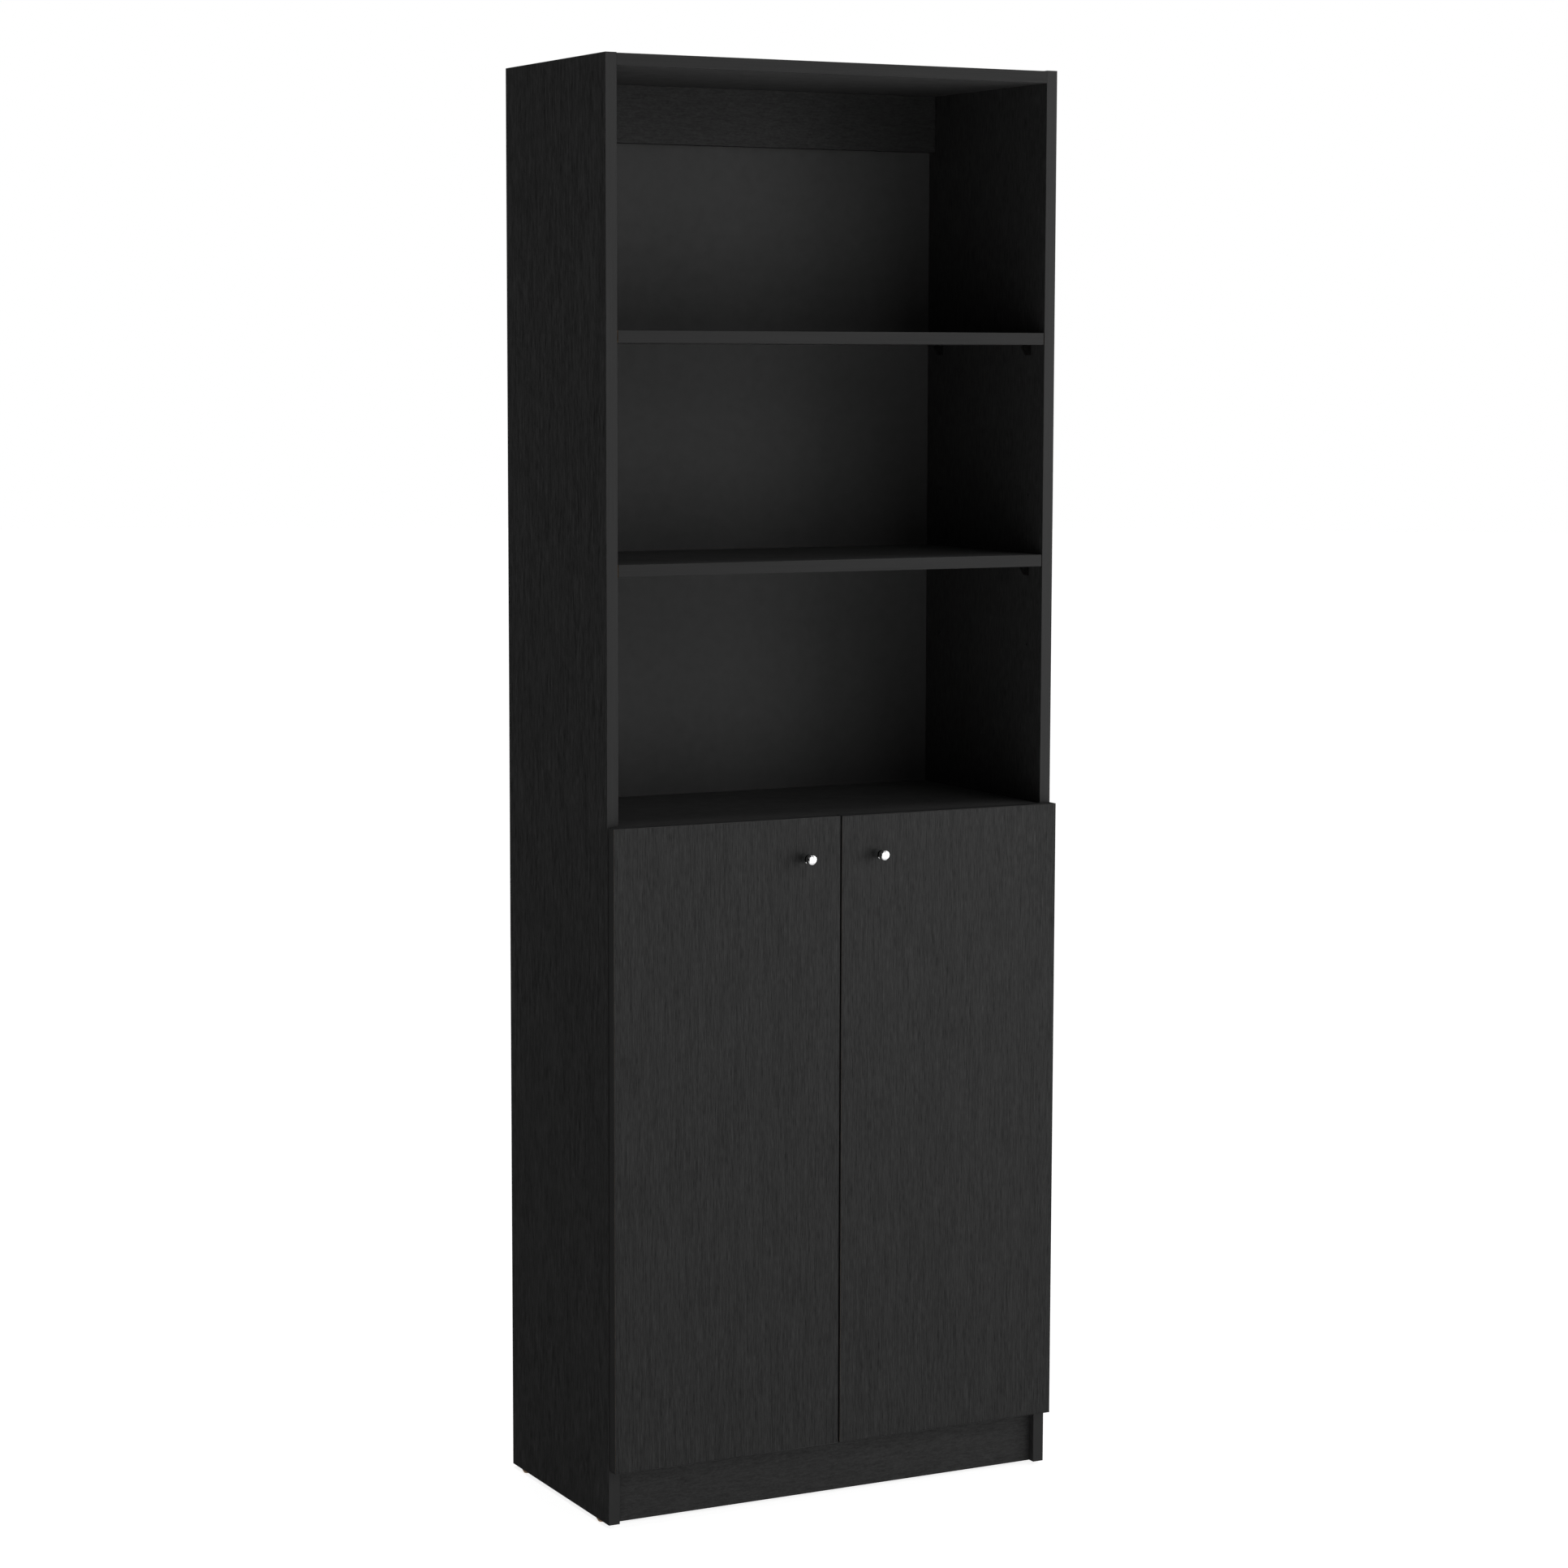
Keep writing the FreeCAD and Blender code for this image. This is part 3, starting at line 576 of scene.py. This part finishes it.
# The shelf fronts take the darker level band, with its painted shade.
for face in strips.faces:
    face.material_index = 1
front_levels = sorted({round(low.y, 6) for low, high in loose_parts("shelf_edge_bands")})
fronts = [(Y, level) for level in front_levels]
eased(strips, [edge for edge in strips.edges if lies_on(edge.verts, fronts)], scraped_round)
shown(strips, "shelf_front_bands", bands, "carcass", "edge_band", "shelf_edge_bands")


# Doors. Two full-overlay doors of the foiled board with upright grain, banded on all four edges, bored
# behind for the hinge cups and through for the knob screw. The bands on their top and bottom edges are
# toned lighter than the rest, a painted highlight.
door_foil = grain_foil("door_grain_foil", Z, tone=0.0230, depth=0.82, across=1250.0, length=74.0)
# The level door band is lighter than the door foil and the upright band: a painted highlight.
door_bands = [bands[0], plain_band("door_band_painted_highlight", X, 0.036)]
for side in ("left", "right"):
    door = side + "_door"
    low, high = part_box(door)
    around = [(X, low.x), (X, high.x), (Z, low.z), (Z, high.z)]
    faced_board(door, side + "_door_leaf", door, Y, door_foil, banded=around)
    low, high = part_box(side + "_door_edge_bands")
    banding(side + "_door_edge_bands", side + "_leaf_bands", door, door_bands, [low.y, high.y])


# Knobs. Each is turned from brass bar and chromed: a round body that cones down to a narrow neck, and a
# slightly wider head with a domed face. A machine screw through the door from behind holds it.
chrome = plated("bright_chrome", (0.80, 0.805, 0.81), (0.86, 0.865, 0.87), dullness=(0.11, 0.15),
                patches=260.0)
screw_nickel = plated("screw_nickel", (0.66, 0.65, 0.63), (0.74, 0.73, 0.71), dullness=(0.28, 0.36),
                      patches=500.0)
body_radius = 0.0062
body_length = 0.0115
neck_radius = 0.0042
neck_start = 0.0135
head_start = 0.0155
rim_round = 0.0013
face_swell = 0.0004
face_rings = 10
fixing_shank = 0.0020
fixing_head = 0.0024


def pan_screw(shank_radius, shank_length, head_radius, head_height):
    """A cross-slotted screw along +Z, with its head on z = 0."""
    shape = bmesh.new()
    outline = [(0.0, -shank_length, 0), (shank_radius * 0.25, -shank_length, 0),
               (shank_radius, -shank_length + shank_radius * 1.6, 0), (shank_radius, 0.0, 0),
               (head_radius, 0.0, 0), (head_radius, head_height * 0.45, head_height * 0.2),
               (head_radius * 0.86, head_height * 0.86, head_height * 0.2),
               (head_radius * 0.62, head_height, 0)]
    cross_topped(shape, softened(outline, steps=3), steps=28, reach=head_radius * 0.5,
                 half_width=head_radius * 0.12, depth=head_height * 0.7)
    return shape


for side in ("left", "right"):
    door = side + "_door"
    low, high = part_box(side + "_knob")
    centre = Vector(((low.x + high.x) / 2, high.y, (low.z + high.z) / 2))
    head_radius = (high.x - low.x) / 2
    length = high.y - low.y
    outline = [(0.0, 0.0, 0), (body_radius, 0.0, 0), (body_radius, body_length, 0.0005),
               (neck_radius, neck_start, 0.0003), (neck_radius, head_start, 0.0003),
               (head_radius, head_start, 0.0006), (head_radius, length - face_swell, rim_round)]
    for ring in range(face_rings, -1, -1):
        radius = (head_radius - rim_round * 1.15) * ring / face_rings
        outline.append((radius, length - face_swell * (radius / head_radius) ** 2, 0))
    turned = bmesh.new()
    lathed(turned, softened(outline, steps=6), steps=64)
    knob = bmesh.new()
    placed(knob, turned, facing(centre, (0, -1, 0)))
    turned.free()
    shown(knob, side + "_chrome_knob", [chrome], door, "chrome", side + "_knob", smooth_under=50)
    low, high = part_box(side + "_knob_screw")
    screw = pan_screw(fixing_shank, high.y - low.y - fixing_head, (high.z - low.z) / 2, fixing_head)
    fixing = bmesh.new()
    placed(fixing, screw, facing((centre.x, high.y - fixing_head, centre.z), (0, 1, 0)))
    screw.free()
    shown(fixing, side + "_knob_fixing", [screw_nickel], door, "steel", side + "_knob_screw",
          smooth_under=40)


# Cup hinges. Nickel-plated pressed steel: a cup in the door, an arm screwed to a plate on the upright, and
# two bent links between them on riveted pins. Cross-slotted screws hold the cup to the door and the plate
# to the upright.
hinge_nickel = plated("hinge_nickel", (0.72, 0.71, 0.69), (0.80, 0.79, 0.77), dullness=(0.36, 0.44),
                      patches=240.0)
stamped_round = 0.00018
stamped_corner = 1.0
cup_screw_shank = 0.0016
cup_screw_head = 0.0014
wall_screw_shank = 0.0019
wall_screws = {"hinge_plate_screws": ("plate_fixings", 0.0018), "hinge_arm_screws": ("arm_fixings", 0.0016)}
for side in ("left", "right"):
    door = side + "_door"
    riders = {"hinge_plate": "carcass", "hinge_arm": "carcass", "outer_link": side + "_outer_links",
              "inner_link": side + "_inner_links"}
    for level in ("upper", "lower"):
        for part, body in riders.items():
            node = "_".join((level, side, part))
            steel = cad_shape(node)
            sharp = [edge for edge in steel.edges
                     if edge.is_manifold and edge.calc_face_angle() > stamped_corner]
            eased(steel, sharp, stamped_round)
            shown(steel, node + "_steel", [hinge_nickel], body, "steel", node)
    cups = side + "_hinge_cups"
    shown(cad_shape(cups), side + "_cups_steel", [hinge_nickel], door, "steel", cups, smooth_under=35)
    plain_finish_on(bright_steel, side + "_hinge_cup_pins")
    cup_screws = side + "_hinge_cup_screws"
    fixings = bmesh.new()
    for low, high in loose_parts(cup_screws):
        head_radius = (high.z - low.z) / 2
        screw = pan_screw(cup_screw_shank, high.y - low.y - cup_screw_head, head_radius, cup_screw_head)
        seat = ((low.x + high.x) / 2, high.y - cup_screw_head, (low.z + high.z) / 2)
        placed(fixings, screw, facing(seat, (0, 1, 0)))
        screw.free()
    shown(fixings, side + "_cup_fixings", [screw_nickel], door, "steel", cup_screws, smooth_under=40)
plain_finish_on(bright_steel, "hinge_arm_pins")
for node, (name, head_height) in wall_screws.items():
    fixings = bmesh.new()
    for low, high in loose_parts(node):
        inward = -1 if low.x > 0 else 1
        head_x = low.x + head_height if low.x > 0 else high.x - head_height
        head_radius = (high.z - low.z) / 2
        screw = pan_screw(wall_screw_shank, high.x - low.x - head_height, head_radius, head_height)
        seat = (head_x, (low.y + high.y) / 2, (low.z + high.z) / 2)
        placed(fixings, screw, facing(seat, (inward, 0, 0)))
        screw.free()
    shown(fixings, name, [screw_nickel], "carcass", "steel", node, smooth_under=40)


# Studio floor. A wide pale sheet with a glow of its own, so that it stays white up to the feet of the case.
# No surface mirrors it, because the dark foil would turn grey.
def staged(shape, name, finish):
    """Keeps a shape as a piece of the studio, which isn't part of the bookcase."""
    mesh = bpy.data.meshes.new(name)
    shape.to_mesh(mesh)
    shape.free()
    mesh.materials.append(finish)
    backdrop = bpy.data.objects.new(name, mesh)
    bpy.context.scene.collection.objects.link(backdrop)
    return backdrop


floor_finish, tree, surface = new_finish("pale_floor")
grit = mottle(tree, (3.0, 3.0, 3.0), 2.0, 0.5)
tree.links.new(shades(tree, grit, [(0.3, 0.80), (0.7, 0.82)]), surface.inputs["Base Color"])
surface.inputs["Roughness"].default_value = 0.9
surface.inputs["Specular IOR Level"].default_value = 0.0
surface.inputs["Emission Color"].default_value = (1.0, 1.0, 1.0, 1.0)
surface.inputs["Emission Strength"].default_value = 0.86
ground = bmesh.new()
bmesh.ops.create_grid(ground, x_segments=8, y_segments=8, size=30.0)
studio_floor = staged(ground, "studio_floor", floor_finish)
studio_floor.visible_glossy = False


# White sheets. A paper that widens towards the front lies before the case, where only the chrome knobs
# mirror it. A dome stands all round: the camera sees it behind the case, and only the steel, zinc and
# nickel mirror it. Neither one lights or shades anything.
def glowing(name, strength):
    """Plain white light from a sheet."""
    finish = bpy.data.materials.new(name)
    finish.use_nodes = True
    tree = finish.node_tree
    tree.nodes.clear()
    glow = tree.nodes.new("ShaderNodeEmission")
    glow.inputs["Color"].default_value = (1.0, 1.0, 1.0, 1.0)
    glow.inputs["Strength"].default_value = strength
    out = tree.nodes.new("ShaderNodeOutputMaterial")
    tree.links.new(glow.outputs["Emission"], out.inputs["Surface"])
    return finish


paper_width = 1.3
paper_depth = 0.7
paper_centre = Vector((0.10, -0.50, 0.0005))
apron_spread = 4.0
apron_reach = 3.2
paper = bmesh.new()
bmesh.ops.create_grid(paper, x_segments=2, y_segments=2, size=0.5)
bmesh.ops.scale(paper, vec=(paper_width, paper_depth, 1.0), verts=paper.verts)
bmesh.ops.translate(paper, vec=paper_centre, verts=paper.verts)
front = [(Y, paper_centre.y - paper_depth / 2)]
front_edges = [edge for edge in paper.edges if lies_on(edge.verts, front)]
apron = bmesh.ops.extrude_edge_only(paper, edges=front_edges)["geom"]
apron_points = [part for part in apron if isinstance(part, bmesh.types.BMVert)]
bmesh.ops.scale(paper, vec=(apron_spread, 1.0, 1.0), verts=apron_points)
bmesh.ops.translate(paper, vec=(0.0, -apron_reach, 0.0), verts=apron_points)
mirrored_sheet = staged(paper, "mirrored_sheet", glowing("white_sheet", 0.62))
mirrored_sheet.visible_camera = False
mirrored_sheet.visible_diffuse = False
mirrored_sheet.visible_shadow = False
chrome_pieces = bpy.data.collections.new("chrome_pieces")
for side in ("left", "right"):
    chrome_pieces.objects.link(bpy.data.objects[side + "_chrome_knob"])
mirrored_sheet.light_linking.receiver_collection = chrome_pieces

dome = bmesh.new()
bmesh.ops.create_icosphere(dome, subdivisions=4, radius=28.0)
white_surround = staged(dome, "white_surround", glowing("white_surround", 1.0))
white_surround.visible_diffuse = False
white_surround.visible_transmission = False
white_surround.visible_shadow = False
plated_finishes = [bright_steel, cast_zinc, screw_nickel, hinge_nickel]
plated_pieces = bpy.data.collections.new("plated_pieces")
for piece in bpy.context.scene.objects:
    if piece.type == "MESH" and piece.active_material in plated_finishes:
        plated_pieces.objects.link(piece)
white_surround.light_linking.receiver_collection = plated_pieces


# Lights. Three soft boxes stand at the front right, a large one further off to the right and a weak one at
# the front left, all aimed at the shelves. A white ceiling adds even light, and the room a trace more.
def soft_box(name, azimuth, distance, level, size, power, aimed_at=(0.0, 0.0, 1.1)):
    """A soft box at an angle right of the front, so far off and so high."""
    lamp = bpy.data.lights.new(name, "AREA")
    lamp.shape = "RECTANGLE"
    lamp.size, lamp.size_y = size
    lamp.energy = power
    stand = bpy.data.objects.new(name, lamp)
    bpy.context.scene.collection.objects.link(stand)
    turn = math.radians(azimuth)
    place = Vector((distance * math.sin(turn), -distance * math.cos(turn), level))
    aim = Vector(aimed_at) - place
    stand.matrix_world = Matrix.Translation(place) @ aim.to_track_quat("-Z", "Y").to_matrix().to_4x4()


soft_box("front_right_high", azimuth=18.4, distance=3.2, level=2.73, size=(1.0, 1.58), power=9.0)
soft_box("front_right_low", azimuth=22.3, distance=3.2, level=0.45, size=(0.6, 0.85), power=2.6)
soft_box("front_right_tall", azimuth=38.1, distance=3.2, level=1.3, size=(1.0, 2.56), power=15.6)
soft_box("right_tall", azimuth=62.0, distance=6.0, level=1.75, size=(1.8, 3.46), power=65.0)
soft_box("front_left_high", azimuth=-25.0, distance=4.0, level=2.73, size=(1.2, 1.58), power=6.0)
ceiling_lamp = bpy.data.lights.new("white_ceiling", "SUN")
ceiling_lamp.energy = 0.8
ceiling_lamp.angle = math.radians(30.0)
ceiling = bpy.data.objects.new("white_ceiling", ceiling_lamp)
bpy.context.scene.collection.objects.link(ceiling)
ceiling.visible_glossy = False
studio_air = bpy.data.worlds.new("studio_air")
studio_air.use_nodes = True
air = studio_air.node_tree.nodes["Background"]
air.inputs["Color"].default_value = (1.0, 1.0, 1.0, 1.0)
air.inputs["Strength"].default_value = 0.02
bpy.context.scene.world = studio_air


# Camera. It stands at the front left, level with the open bays, and looks slightly down, as in the photo.
# Its place, turn and lens were fitted to the corners of the case.
camera_place = (-2.21044, -4.28303, 1.43744)
yaw = math.radians(27.2592)
pitch = math.radians(6.3734)
roll = math.radians(0.1515)
camera_data = bpy.data.cameras.new("photo_camera")
camera_data.sensor_width = 36.0
camera_data.lens = 87.123
camera_data.clip_end = 100.0
camera = bpy.data.objects.new("photo_camera", camera_data)
bpy.context.scene.collection.objects.link(camera)
camera.matrix_world = (Matrix.Translation(camera_place) @ Matrix.Rotation(-yaw, 4, "Z")
                       @ Matrix.Rotation(math.pi / 2 - pitch, 4, "X") @ Matrix.Rotation(roll, 4, "Z"))
bpy.context.scene.camera = camera
bpy.context.scene.view_settings.view_transform = "Standard"
